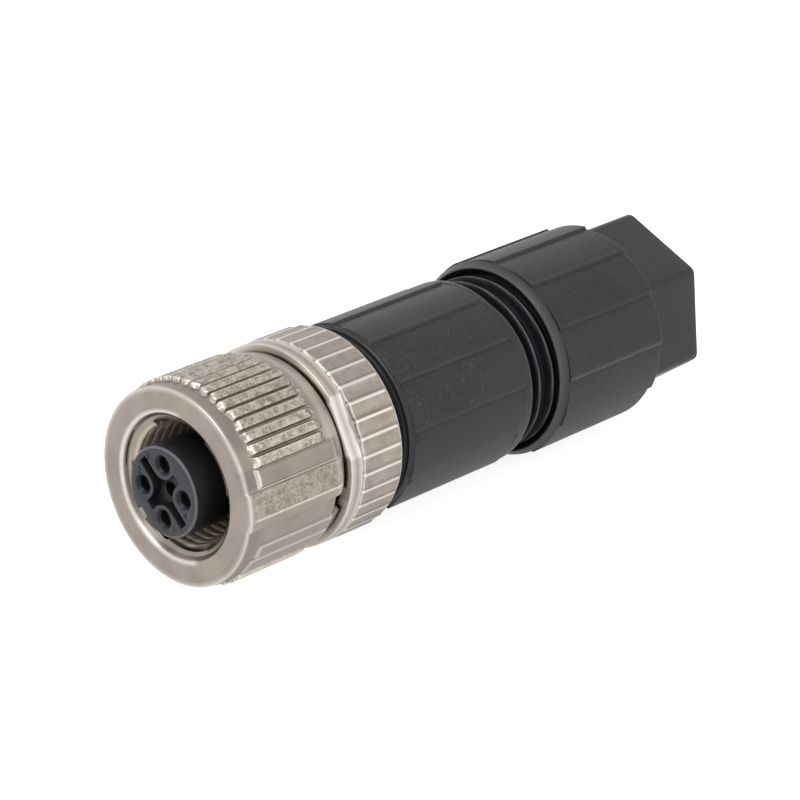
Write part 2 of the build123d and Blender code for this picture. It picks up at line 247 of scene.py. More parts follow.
def shape_by_rule(blank, sizes, rule, material, shaded=None):
    """The blank as a plain mesh, its points moved by a rule in Geometry Nodes.

    The rule takes terms for x, radius (millimetres), turn (degrees), a place for noise and the
    named sizes. It gives the new x and radius, and the masks that the material reads. Where the
    mask in_gap is set, the piece has the shaded material.
    """
    tree = bpy.data.node_groups.new(f"{blank.name} rule", "GeometryNodeTree")
    tree.interface.new_socket("Blank", in_out="INPUT", socket_type="NodeSocketGeometry")
    for name, value in sizes.items():
        entry = tree.interface.new_socket(name, in_out="INPUT", socket_type="NodeSocketFloat")
        entry.default_value = value
    for name in ("Finish", "Gap finish"):
        tree.interface.new_socket(name, in_out="INPUT", socket_type="NodeSocketMaterial")
    tree.interface.new_socket("Piece", in_out="OUTPUT", socket_type="NodeSocketGeometry")
    start = tree.nodes.new("NodeGroupInput")
    end = tree.nodes.new("NodeGroupOutput")

    place = tree.nodes.new("GeometryNodeInputPosition").outputs[0]
    split = tree.nodes.new("ShaderNodeSeparateXYZ")
    feed(tree, place, split.inputs[0])
    x, y, z = (Term(tree, output) for output in split.outputs)
    radius = (y * y + z * z).math("SQRT")
    turn = (z.math("ARCTAN2", y) * (180 / pi)).wrap(360)
    named = {name: Term(tree, start.outputs[name]) for name in sizes}
    new_x, new_radius, masks = rule(x / MM, radius / MM, turn, place, named)

    geometry = start.outputs["Blank"]
    for name, value in masks.items():
        store = tree.nodes.new("GeometryNodeStoreNamedAttribute")
        store.data_type = "FLOAT"
        store.domain = "POINT"
        store.inputs["Name"].default_value = name
        feed(tree, geometry, store.inputs["Geometry"])
        feed(tree, value, store.inputs["Value"])
        geometry = store.outputs["Geometry"]
    grow = (new_radius * MM) / radius
    join = tree.nodes.new("ShaderNodeCombineXYZ")
    for value, socket in zip((new_x * MM, y * grow, z * grow), join.inputs):
        feed(tree, value, socket)
    move = tree.nodes.new("GeometryNodeSetPosition")
    feed(tree, geometry, move.inputs["Geometry"])
    feed(tree, join.outputs[0], move.inputs["Position"])
    realize = tree.nodes.new("GeometryNodeRealizeInstances")
    feed(tree, move.outputs[0], realize.inputs[0])
    finish = tree.nodes.new("GeometryNodeSetMaterial")
    feed(tree, realize.outputs[0], finish.inputs["Geometry"])
    feed(tree, start.outputs["Finish"], finish.inputs["Material"])
    if shaded:
        stored = tree.nodes.new("GeometryNodeInputNamedAttribute")
        stored.data_type = "FLOAT"
        stored.inputs["Name"].default_value = "in_gap"
        gap = tree.nodes.new("GeometryNodeSetMaterial")
        feed(tree, finish.outputs[0], gap.inputs["Geometry"])
        feed(tree, Term(tree, stored.outputs[0]).math("GREATER_THAN", 0.5), gap.inputs["Selection"])
        feed(tree, start.outputs["Gap finish"], gap.inputs["Material"])
        finish = gap
    feed(tree, finish.outputs[0], end.inputs["Piece"])

    modifier = blank.modifiers.new("Rule", "NODES")
    modifier.node_group = tree
    for item in tree.interface.items_tree:
        if item.name == "Finish":
            modifier[item.identifier] = material
        elif item.name == "Gap finish" and shaded:
            modifier[item.identifier] = shaded
        elif item.name in sizes:
            modifier[item.identifier] = sizes[item.name]
    return settled(blank)


def settled(piece):
    """The piece with its modifiers turned into plain mesh."""
    depsgraph = bpy.context.evaluated_depsgraph_get()
    mesh = bpy.data.meshes.new_from_object(piece.evaluated_get(depsgraph))
    piece.modifiers.clear()
    piece.data = mesh
    return piece


def spread(centres, offsets):
    """Turns at each offset from each centre."""
    return {round(float(centre + offset) % 360, 3) for centre in centres for offset in offsets}


def group(name, inputs, outputs):
    """Empty shader node group with named numbers in and out."""
    tree = bpy.data.node_groups.new(name, "ShaderNodeTree")
    for label, value in inputs.items():
        tree.interface.new_socket(label, in_out="INPUT", socket_type="NodeSocketFloat").default_value = value
    for label in outputs:
        tree.interface.new_socket(label, in_out="OUTPUT", socket_type="NodeSocketFloat")
    return tree, tree.nodes.new("NodeGroupInput"), tree.nodes.new("NodeGroupOutput")


def make_skin_group():
    """Grainy skin of a casting or a spark-eroded mould: a height, and a slow tone over it."""
    inputs = {"Grain": 4000.0, "Lumps": 0.3, "Patches": 300.0}
    tree, start, end = group("Moulded skin", inputs, ["Height", "Tone"])
    place = tree.nodes.new("ShaderNodeTexCoord").outputs["Object"]
    fine = noise(tree, place, start.outputs["Grain"], detail=3.0)
    coarse = noise(tree, place, Term(tree, start.outputs["Grain"]) * 0.3, detail=1.0, seed=4.0)
    lumps = Term(tree, start.outputs["Lumps"])
    feed(tree, fine + (coarse - fine) * lumps, end.inputs["Height"])
    feed(tree, noise(tree, place, start.outputs["Patches"], detail=3.0, seed=9.0), end.inputs["Tone"])
    return tree


skin_group = make_skin_group()


class Finish:
    """A material under construction: a Principled shader and the terms that feed it."""

    def __init__(self, name, roughness, metallic=0.0, specular=0.5):
        self.material = bpy.data.materials.new(name)
        self.material.use_nodes = True
        self.tree = self.material.node_tree
        self.shader = self.tree.nodes["Principled BSDF"]
        self.shader.inputs["Roughness"].default_value = roughness
        self.shader.inputs["Metallic"].default_value = metallic
        self.shader.inputs["Specular IOR Level"].default_value = specular

    def skin(self, grain, lumps, patches):
        """Height and tone of the moulded skin."""
        node = self.tree.nodes.new("ShaderNodeGroup")
        node.node_tree = skin_group
        for name, value in (("Grain", grain), ("Lumps", lumps), ("Patches", patches)):
            node.inputs[name].default_value = value
        return Term(self.tree, node.outputs["Height"]), Term(self.tree, node.outputs["Tone"])

    def attribute(self, name):
        """Mask stored by the piece's rule."""
        node = self.tree.nodes.new("ShaderNodeAttribute")
        node.attribute_name = name
        return Term(self.tree, node.outputs["Fac"])

    def blend(self, share, first, second):
        """Mix of two colours, each a tuple or a socket."""
        node = self.tree.nodes.new("ShaderNodeMix")
        node.data_type = "RGBA"
        feed(self.tree, share, node.inputs["Factor"])
        for value, socket in ((first, node.inputs[6]), (second, node.inputs[7])):
            feed(self.tree, value if isinstance(value, bpy.types.NodeSocket) else (*value, 1.0), socket)
        return node.outputs[2]

    def colour(self, socket):
        feed(self.tree, socket, self.shader.inputs["Base Color"])

    def roughness(self, term):
        feed(self.tree, term, self.shader.inputs["Roughness"])

    def metallic(self, term):
        feed(self.tree, term, self.shader.inputs["Metallic"])

    def position(self):
        """Place in the piece as x and radius, in millimetres."""
        split = self.tree.nodes.new("ShaderNodeSeparateXYZ")
        feed(self.tree, self.tree.nodes.new("ShaderNodeTexCoord").outputs["Object"], split.inputs[0])
        x, y, z = (Term(self.tree, output) / MM for output in split.outputs)
        return x, (y * y + z * z).math("SQRT")

    def bump(self, height, depth):
        """Relief of a height term, depth in millimetres for a height of 1."""
        node = self.tree.nodes.new("ShaderNodeBump")
        node.inputs["Distance"].default_value = depth * MM
        feed(self.tree, height, node.inputs["Height"])
        feed(self.tree, node.outputs[0], self.shader.inputs["Normal"])


def make_nickel_plate():
    """Satin nickel over a zinc casting: grainy where the mould was, with painted highlights on its ridges,
    edges and thread ridges and painted shade in its grooves and gaps.
    """
    finish = Finish("nickel plate", roughness=0.36, metallic=1.0)
    height, tone = finish.skin(grain=4800.0, lumps=0.4, patches=420.0)
    grain = finish.attribute("grain")
    crest = finish.attribute("crest")
    painted_shade = finish.attribute("painted_shade")
    thread = finish.attribute("thread")
    dull_nickel, fair_nickel = (0.295, 0.256, 0.221), (0.358, 0.312, 0.273)
    pit, pit_edge = (0.25, 0.21, 0.168), (0.56, 0.51, 0.45)
    # Painted light on this line: a painted highlight for the ridges and edges, a paler, warmer painted
    # highlight for the thread ridges, and painted shade.
    highlight_nickel, thread_highlight_nickel, painted_shade_colour = (0.82, 0.78, 0.72), (0.86, 0.74, 0.58), (0.05, 0.04, 0.03)
    plate = finish.blend(tone.rise(0.3, 0.7), dull_nickel, fair_nickel)
    pitted = finish.blend(height.rise(0.36, 0.64), pit, pit_edge)
    cast = finish.blend(grain, plate, pitted)
    # Painted highlights where the crest and thread masks are set, then painted shade; the thread ridges also
    # lose most of their metal.
    highlighted = finish.blend(crest, cast, highlight_nickel)
    thread_highlighted = finish.blend(thread, highlighted, thread_highlight_nickel)
    finish.colour(finish.blend(painted_shade, thread_highlighted, painted_shade_colour))
    finish.metallic((thread * 0.75).inverse())
    finish.roughness(tone * 0.12 + 0.28 + grain * 0.08 - crest * 0.06)
    finish.bump(height * (grain * 0.85 + 0.12), 0.06)
    return finish.material


def make_black_plastic():
    """Black glass-filled nylon: fine spark-eroded grain with pale painted glints in it and plainer bands,
    painted highlights on its edges and painted shade in its creases and gaps.
    """
    finish = Finish("black nylon", roughness=0.42, specular=0.36)
    height, tone = finish.skin(grain=6200.0, lumps=0.35, patches=260.0)
    grain = finish.attribute("grain")
    edge = finish.attribute("edge")
    painted_shade = finish.attribute("painted_shade")
    deep_black, pale_black = (0.0135, 0.0133, 0.014), (0.0205, 0.020, 0.021)
    # Painted light on this line: pale flecks as painted glints, a painted highlight for the edges, and
    # painted shade.
    glint_colour, highlight_colour, shade = (0.075, 0.074, 0.074), (0.13, 0.13, 0.135), (0.003, 0.003, 0.004)
    base = finish.blend(tone.rise(0.3, 0.7), deep_black, pale_black)
    glinted = finish.blend(height.rise(0.53, 0.67) * grain * 0.8, base, glint_colour)
    painted_highlight = finish.blend(edge, glinted, highlight_colour)
    finish.colour(finish.blend(painted_shade, painted_highlight, shade))
    finish.roughness(grain * 0.10 + tone * 0.08 + 0.34)
    finish.bump(height * (grain * 0.9 + 0.1), 0.06)
    return finish.material


def make_insert_plastic():
    """Dark moulding, with painted shade on its flank behind the mating face and a painted highlight along the
    face's outer edge.
    """
    finish = Finish("insert plastic", roughness=0.42, specular=0.35)
    height, tone = finish.skin(grain=2600.0, lumps=0.6, patches=500.0)
    x, radius = finish.position()
    dark_face, light_face = (0.036, 0.038, 0.045), (0.047, 0.050, 0.058)
    shaded_flank, highlight_colour = (0.009, 0.009, 0.012), (0.15, 0.155, 0.17)
    face = finish.blend(tone, dark_face, light_face)
    # Painted shade: the flank behind the mating face is much darker than the face.
    body = finish.blend(x.rise(0.03, 0.09), face, shaded_flank)
    # Painted highlight along the outer edge of the mating face.
    edge = radius.rise(3.9, 3.96) * x.rise(0.1, 0.2).inverse()
    finish.colour(finish.blend(edge, body, highlight_colour))
    finish.roughness(tone * 0.1 + 0.37)
    finish.bump(height, 0.012)
    return finish.material


def make_plain_plastic(name, dark, light, roughness, specular=0.5):
    """Smooth moulding with a faint unevenness, and a painted highlight where the edge mask is set."""
    # Painted highlight colour for the edge mask.
    painted_highlight = (0.2, 0.2, 0.2)
    finish = Finish(name, roughness=roughness, specular=specular)
    height, tone = finish.skin(grain=2600.0, lumps=0.6, patches=500.0)
    plain = finish.blend(tone, dark, light)
    finish.colour(finish.blend(finish.attribute("edge"), plain, painted_highlight))
    finish.roughness(tone * 0.1 + (roughness - 0.05))
    finish.bump(height, 0.012)
    return finish.material


def make_metal(name, dark, light, roughness):
    """Turned or stamped metal with a light haze."""
    finish = Finish(name, roughness=roughness, metallic=1.0)
    height, tone = finish.skin(grain=3000.0, lumps=0.5, patches=900.0)
    finish.colour(finish.blend(tone, dark, light))
    finish.roughness(tone * 0.15 + (roughness - 0.05))
    finish.bump(height, 0.008)
    return finish.material


nickel_plate = make_nickel_plate()
black_plastic = make_black_plastic()
# A darker, less glossy copy of the black nylon: painted shade, laid on the thread and on the surfaces in
# gaps.
shaded_nylon = make_plain_plastic("shaded thread nylon", (0.004, 0.0045, 0.007), (0.007, 0.0075, 0.011), 0.5, 0.14)
insert_plastic = make_insert_plastic()
block_plastic = make_plain_plastic("block plastic", (0.020, 0.022, 0.026), (0.032, 0.034, 0.040), 0.45, 0.4)
cage_plastic = make_plain_plastic("cage plastic", (0.04, 0.04, 0.045), (0.06, 0.06, 0.065), 0.45)
seal_rubber = make_plain_plastic("seal rubber", (0.014, 0.014, 0.014), (0.026, 0.026, 0.025), 0.7)
gold_plate = make_metal("gold plate", (0.78, 0.56, 0.24), (0.88, 0.68, 0.34), 0.25)
screw_steel = make_metal("zinc-plated steel", (0.55, 0.55, 0.56), (0.68, 0.68, 0.68), 0.3)


def nut_ribs(x, turn, ragged, outer, size):
    """Masks of the nut's ribs, of the painted highlights on them and of the grooves between them."""
    top, foot = size["Rib top"] / 2, size["Rib foot"] / 2
    front, rear = size["Rib front"], size["Rib rear"]
    half_field = size["Rib field"] / 2
    side = (turn - size["Rib centre"] + 90).wrap(180) - 90
    across = ((side / size["Rib pitch"] + 0.5).wrap(1) - 0.5) * size["Rib pitch"]
    from_middle = across.size()
    # No ribs where the low panels are.
    panelled = turn.within(202.5, 228.5, 0.4)
    field = side.size().rise(half_field - 0.6, half_field).inverse() * outer * panelled.inverse()
    run = (x + ragged).rise(front, front + 0.25) * (x + ragged).rise(rear - 0.9, rear).inverse()
    rib = from_middle.rise(top, foot).inverse() * field * run
    # Painted highlights: bright nubs at the ribs' fronts, a line along one edge of each rib and dots behind
    # them.
    nub = (x + ragged).within(front + 0.2, front + 0.32, 0.15) * rib
    brow = (across + top).within(-0.3, 0.2, 0.2) * rib
    rear_dot = x.within(11.15, 11.3, 0.2) * from_middle.rise(0.6, 1.2).inverse() * field
    # The grooves between the ribs get painted shade.
    groove = from_middle.rise(foot - 0.45, foot + 0.25) * field * run
    return rib, mixed((brow, 0.45), (nub, 0.85), (rear_dot, 0.7)), groove


def nut_thread(x, radius, turn, size):
    """Masks of the nut's interrupted thread: where it runs, and its ridge."""
    inner = radius.rise(6.05, 6.3).inverse()
    sector, *others = (turn.within(first, last, 2) for first, last in ((7, 58), (122, 173), (240, 287)))
    for other in others:
        sector = sector.most(other)
    # Place across the pitch, 0 to 1, with the ridge in the middle of it.
    helix = ((x - 2.55) / size["Thread pitch"] - turn / 360).wrap(1)
    ridge = (1 - (helix * 2 - 1).size()).rise(0.1, 0.36)
    threaded = inner * sector * x.rise(2.0, 2.3) * x.rise(8.1, 8.5).inverse()
    return threaded, ridge


def nut_rule(x, radius, turn, place, size):
    """Ribs on two sides, a pad, panels and plain lands between them, and a thread inside."""
    land_turns, land_height = (156.8, 166.4), 0.2
    pad_turns, pad_ease = (168.4, 189.1), 1.1
    cut_turns, cut_depth = (190.8, 202.5), 0.8
    panel_height = 0.16

    def raised(first, last, front, rear):
        """A low panel, and its edge."""
        whole = turn.within(first, last, 0.4) * x.within(front, rear, 0.15)
        inset = turn.within(first + 0.8, last - 0.8, 0.4) * x.within(front + 0.3, rear - 0.3, 0.15)
        return whole, whole * inset.inverse()

    outer = radius.rise(8.1, 8.6)
    ragged = (noise(radius.tree, place, 1500.0, detail=2.0) - 0.5) * 1.5
    rib, rib_crest, groove = nut_ribs(x, turn, ragged, outer, size)
    threaded, ridge = nut_thread(x, radius, turn, size)

    land = turn.within(*land_turns, 0.5) * x.within(3.0, 12.2, 0.25)
    # The pad is a low roof, its ridge at 183 degrees.
    rising = (turn - 168.45) * 0.0076 + 0.25
    falling = (189.05 - turn) * 0.0182 + 0.25
    pad_slopes = rising.least(falling).most(0)
    pad = pad_slopes * turn.within(*pad_turns, pad_ease) * x.rise(12.7, 13.1).inverse()
    panel, panel_edge = raised(203.8, 212.6, 3.3, 12.2)
    second_panel, second_edge = raised(214.8, 226.4, 3.0, 12.4)
    cut_back = turn.within(*cut_turns, 0.5) * x.rise(12.25, 12.4)
    out = (rib * size["Rib height"]).most(land * land_height).most(pad)
    out = out.most(panel.most(second_panel) * panel_height) - cut_back * cut_depth

    # Painted highlights along the face's rim, the lit side of the mouth's edge, the pad's ridge and sides,
    # the lands' fronts, the rear bevel and the panels' edges.
    rim = radius.rise(8.8, 8.9) * x.rise(1.44, 1.62).inverse()
    mouth = radius.rise(6.8, 6.9).inverse() * x.rise(2.0, 2.05).inverse()
    mouth_edge = mouth * x.rise(1.5, 1.56).inverse() * radius.rise(6.55, 6.6)
    lit_mouth_edge = mouth_edge * turn.within(100, 245, 8).inverse()
    pad_crest = turn.within(182.8, 183.3, 0.4) * x.rise(1.6, 2.2) * x.rise(12.6, 12.9).inverse()
    pad_lines = turn.within(167.0, 167.3, 0.4) + turn.within(189.6, 190.1, 0.4)
    land_front = turn.within(156.5, 166.6, 0.4) * (x + ragged * 0.3).within(2.85, 3.1, 0.15)
    crest = mixed(
        (rib_crest, 1),
        (rim, 0.6),
        (lit_mouth_edge, 0.7),
        (pad_crest * outer, 0.7),
        (pad_lines * x.within(3.1, 12.3, 0.3) * outer, 0.45),
        (land_front * outer, 0.75),
        (x.rise(11.7, 12.1) * outer, 0.25),
        ((panel_edge + second_edge) * outer, 0.5),
    )

    # Painted shade in the grooves between the ribs, on a band behind the face, in the thread's valleys, in a
    # dark slit inside the mouth that has no relief, and on the pad, lands and panels.
    pad_field = turn.within(168.5, 182.6, 0.5) * outer * x.rise(1.7, 2.1)
    collar = x.within(1.8, 2.6, 0.35) * outer * turn.within(166, 191, 0.6).inverse()
    slit = mouth * turn.within(2, 34, 2) * x.within(1.7, 1.8, 0.03)
    painted_shade = mixed(
        (groove, 0.3),
        (collar, 0.16),
        (threaded * ridge.rise(0.5, 0.95).inverse(), 0.95),
        (slit, 0.95),
        (pad_field, 0.2),
        (turn.within(155.5, 166.5, 0.5) * outer, 0.16),
        (turn.within(190.5, 228, 0.5) * outer, 0.12),
    )
    # The thread mask paints the thread ridges paler, a painted highlight.
    thread = threaded * ridge
    new_radius = radius + out * outer - thread * size["Thread depth"]
    grain = mixed((rib, 1), (pad_field, 0.75))
    return x, new_radius, {"grain": grain, "crest": crest, "painted_shade": painted_shade, "thread": thread}


def make_coupling_nut():
    """Cast coupling nut, with rows of points where its ribs, pad and thread need them."""
    rib_pitch, rib_count, rib_centre = 7.2, 17, 95.4
    outwards = np.arange(rib_count) - (rib_count - 1) / 2
    centres = [rib_centre + side + rib * rib_pitch for side in (0, 180) for rib in outwards]
    turns = spread(centres, [-3.55, -3.2, -2.85, -2.5, -2.15, -1.6, 0, 1.6, 2.15, 2.5, 2.85, 3.2])
    seen_side, far_side = spread([157], np.arange(0, 72, 0.6)), spread([337], np.arange(0, 60, 3))
    turns |= seen_side | far_side
    rib_fronts, rib_rears = np.arange(2.8, 3.9, 0.1), np.arange(10.7, 11.5, 0.15)
    wall = [1.8, 2.2, 2.4, 2.6, 2.7, *rib_fronts, 4.2, 5, 6, 7, 8, 9, 10, 10.4, *rib_rears]
    outline = eased_outline(
        [
            (1.4, 6.74, 0.02),
            (1.4, 9.0, 0.14, wall),
            (11.9, 9.0, 0.4),
            (13.3, 8.72, 0.15),
            (13.3, 6.66, 0.1),
            (10.6, 6.66, 0),
            (10.6, 7.5, 0),
            (9.0, 7.5, 0),
            (9.0, 6.0, 0, np.arange(2.05, 8.7, 0.125)),
            (2.0, 6.0, 0),
            (1.98, 6.3, 0, [1.64, 1.68, 1.7, 1.75, 1.8, 1.83, 1.88]),
            (1.5, 6.64, 0.02),
        ],
        reach=0.35,
    )
    blank = turned_blank("coupling_nut_cast", outline, sorted(turns))
    sizes = {
        "Rib centre": rib_centre,
        "Rib pitch": rib_pitch,
        "Rib field": rib_count * rib_pitch,
        "Rib top": 4.7,
        "Rib foot": 6.5,
        "Rib height": 0.4,
        "Rib front": 2.95,
        "Rib rear": 11.5,
        "Thread pitch": 1.0,
        "Thread depth": 0.52,
    }
    return shape_by_rule(blank, sizes, nut_rule, nickel_plate)


coupling_nut = make_coupling_nut()
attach(coupling_nut, "coupling_nut")
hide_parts("coupling_nut")


def ring_rule(x, radius, turn, place, size):
    """Shallow flutes round the grip and two spanner flats on the flange."""
    # Each flute is a parabola between two ridges: share goes from 0 in its middle to 1 at a ridge.
    pitch = 360 / size["Flutes"]
    from_middle = ((turn - size["First ridge"]) / pitch).wrap(1) - 0.5
    share = from_middle.size() * 2 / (1 - size["Ridge land"] / pitch)
    grip = x.rise(15.04, 15.06) * radius.rise(9.0, 9.3)
    flute = (share * share).inverse().most(0) * size["Flute depth"]
    tail = x.rise(19.62, 19.72) * size["Flute depth"]
    # Radius of the spanner flat at a turn.
    off_flat = ((turn - size["Flat turn"] + 90).wrap(180) - 90) * (pi / 180)
    flat = size["Flats across"] / 2 / off_flat.math("COSINE")
    flange = x.rise(13.3, 13.4) * x.rise(14.99, 15.01).inverse()
    on_flat = (radius - flat).rise(0.0, 0.06) * flange * x.rise(13.5, 13.6)
    new_radius = radius - flute.most(tail) * grip - (radius - radius.least(flat)) * flange

    # Painted highlights on the ridges, the edges of the flange and grip and the spanner flats; painted shade
    # beside each ridge and in the groove before the grip.
    ridge = share.rise(0.93, 1.0) * grip * x.rise(19.6, 19.7).inverse()
    under = share.within(0.70, 0.84, 0.1) * from_middle.rise(0, 0.05) * grip
    outermost = radius.rise(9.1, 9.25)
    lines = x.within(13.5, 13.58, 0.08) + x.within(14.78, 14.86, 0.05) + x.within(15.12, 15.2, 0.05)
    edges = (lines + x.rise(19.78, 19.86)) * outermost
    groove = x.within(14.93, 15.04, 0.03) * outermost * on_flat.inverse()
    masks = {
        "grain": on_flat.inverse() * outermost * 0.22,
        "crest": mixed((ridge, 0.7), (edges, 0.6), (on_flat, 0.2)),
        "painted_shade": mixed((under, 0.28), (groove, 0.8)),
    }
    return x, new_radius, masks


def make_ribbed_ring():
    """Cast ring with its hub, the flange with two flats and the fluted grip."""
    flange_r, flats_across, flat_turn = 9.38, 17.8, 153.5
    half_flat = degrees(np.arccos(flats_across / 2 / flange_r))
    turns = spread(range(3, 363, 10), [-4, -3, -2, -1.3, -0.9, -0.6, 0, 0.6, 0.9, 1.3, 2, 3, 4, 5])
    turns |= spread([flat_turn, flat_turn + 180], [-half_flat, half_flat])
    outline = eased_outline(
        [
            (9.2, 5.6, 0),
            (9.2, 6.6, 0.1),
            (9.7, 6.6, 0),
            (9.7, 6.1, 0),
            (10.4, 6.1, 0),
            (10.4, 6.6, 0),
            (13.5, 6.6, 0),
            (13.5, flange_r, 0.1),
            (14.88, flange_r, 0.05),
            (14.98, 9.26, 0),
            (15.06, 9.26, 0),
            (15.14, 9.45, 0.04, [15.3, 16, 17, 18, 19, 19.5, 19.62, 19.67, 19.72]),
            (19.95, 9.45, 0.12),
            (19.95, 7.6, 0),
            (15.95, 7.6, 0),
            (15.95, 6.8, 0),
            (14.5, 6.8, 0),
            (14.5, 5.6, 0),
        ],
        reach=0.8,
    )
    blank = turned_blank("ribbed_ring_cast", outline, sorted(turns))
    sizes = {
        "Flutes": 36.0,
        "First ridge": 3.0,
        "Ridge land": 1.2,
        "Flute depth": 0.12,
        "Flat turn": flat_turn,
        "Flats across": flats_across,
    }
    return shape_by_rule(blank, sizes, ring_rule, nickel_plate)


ribbed_ring = make_ribbed_ring()
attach(ribbed_ring, "connector_body")
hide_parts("ribbed_ring")


LAND_COUNT = 12
LAND_SPAN = 360 // LAND_COUNT


def land_step(turn, on_lands, size):
    """How far round its land a turn lies, 0 to 1, the land's height there, its edge and its foot."""
    along = ((turn - size["First step"]) / LAND_SPAN).wrap(1)
    height = along * along.rise(0.965, 0.998).inverse()
    # The edge mask is for a painted highlight at each step, the foot mask for painted shade below it.
    edge = along.within(0.93, 0.975, 0.02) * on_lands
    foot = along.rise(0.02, 0.05).inverse() * on_lands
    return along, height, edge, foot


def housing_rule(x, radius, turn, place, size):
    """Stepped grip lands, a thread behind them and guide ribs in the bore."""
    slit_depth, guide_height, run_out_length = 0.2, 0.7, 0.6
    outer = radius.rise(8.6, 8.7)
    on_lands = x.within(22.08, 36.45, 0.06) * outer
    along, land, step_edge, foot = land_step(turn, on_lands, size)
    slit = along.within(0.03, 0.14, 0.02) * x.within(22.14, 22.2, 0.06) * outer
    helix = ((x - size["Thread start"]) / size["Thread pitch"] - (turn - 149) / 360).wrap(1)
    crest = ((helix - 0.5).size() * 2).rise(0.42, 0.94)
    threaded = x.within(38.4, 45.5, 0.2) * radius.rise(7.25, 7.35)
    bore = radius.rise(6.05, 6.2).inverse() * radius.rise(5.8, 5.97)
    from_guide = ((turn + 45).wrap(90) - 45).size()
    guides = bore * x.within(40.35, 46.0, 0.05) * from_guide.rise(3.4, 4.2).inverse()
    lands = on_lands * land * size["Land rise"]
    new_radius = radius + lands + threaded * crest * size["Thread depth"]
    new_radius = new_radius - slit * slit_depth - guides * guide_height

    # The rim's rear face lies further forward from 50 to 120 degrees and runs back out on both sides.
    past = ((turn - 120) / LAND_SPAN).most(0).least(1)
    run_out = (1 - past.math("SQRT")) * turn.rise(20, 50) * run_out_length
    new_x = x - run_out * x.rise(36.75, 37.6) * x.rise(37.95, 38.6).inverse() * radius.rise(7.2, 7.3)

    grainy = turn.wrap(180).within(113, 172.5, 1.0) * x.rise(32.2, 32.6).inverse()
    # Painted highlights on the front edge, the step edges, the rim's rear edge and the thread's crests;
    # painted shade at the foot of each land, heavier in one band of turns, and in the slits. in_gap lays the
    # darker shaded nylon, painted shade, on the neck, the bore and the thread.
    front = x.within(21.66, 21.72, 0.05) * radius.rise(8.4, 8.5)
    rim_edge = x.within(37.62, 37.76, 0.06) * radius.rise(8.5, 8.6)
    thread_edge = threaded * ((helix - 0.5).size() * 2).rise(0.84, 0.98)
    clear = turn.wrap(180).within(172.5, 175, 0.5)
    masks = {
        "grain": (grainy * 0.8 + 0.2) * on_lands,
        "edge": mixed((front, 0.35), (step_edge, 0.12), (rim_edge, 0.2), (thread_edge, 0.8)),
        "painted_shade": mixed((foot * (clear * 0.5 + 0.25), 1), (slit, 0.9)),
        "in_gap": radius.rise(8.1, 8.2).inverse() * x.rise(19.9, 20.0),
    }
    return new_x, new_radius, masks


def make_housing():
    """Moulded housing, with rows of points where its lands, slits and thread need them."""
    first_step = 173
    steps = [first_step + land * LAND_SPAN for land in range(LAND_COUNT)]
    near_step = [-2.2, -1.6, -1.1, -0.8, -0.4, -0.06, 0.2, 0.6, 0.9, 1.3, 1.8, 2.2, 3.6, 5]
    land_wall = [22.08, 22.14, 22.2, 22.26, 23, 24, 26, 28, 30, 32.1, 32.25, 32.6, 34, 36, 36.3, 36.45]
    turns = spread(steps, near_step) | spread(steps, np.arange(6.5, 27.6, 1.5))
    turns |= spread([0, 90, 180, 270], [-4.2, -3.8, -3.4, 3.4, 3.8, 4.2])
    outline = eased_outline(
        [
            (16.15, 6.4, 0),
            (16.15, 7.54, 0.1),
            (19.1, 7.54, 0),
            (19.1, 6.93, 0),
            (19.9, 6.93, 0),
            (19.9, 7.54, 0),
            (19.95, 7.54, 0),
            (19.95, 8.05, 0),
            (21.55, 8.05, 0),
            (21.6, 8.6, 0.05),
            (21.8, 8.74, 0.05),
            (22.02, 8.76, 0, land_wall),
            (36.5, 8.78, 0),
            (36.6, 8.85, 0.03, [36.75, 37.0, 37.2, 37.4]),
            (37.9, 8.85, 0.22),
            (37.9, 7.4, 0, np.arange(38.0, 45.7, 0.12)),
            (45.75, 7.4, 0.1),
            (45.75, 6.0, 0),
            (37.65, 6.0, 0),
            (37.65, 4.6, 0),
            (34.85, 4.6, 0),
            (34.85, 5.95, 0),
            (25.65, 5.95, 0),
            (25.65, 6.4, 0),
        ],
        reach=0.9,
    )
    blank = turned_blank("housing_moulding", outline, sorted(turns))
    sizes = {
        "First step": float(first_step),
        "Land rise": 0.24,
        "Thread start": 39.35,
        "Thread pitch": 1.8,
        "Thread depth": 0.9,
    }
    return shape_by_rule(blank, sizes, housing_rule, black_plastic, shaded_nylon)


housing = make_housing()
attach(housing, "connector_body")
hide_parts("housing")


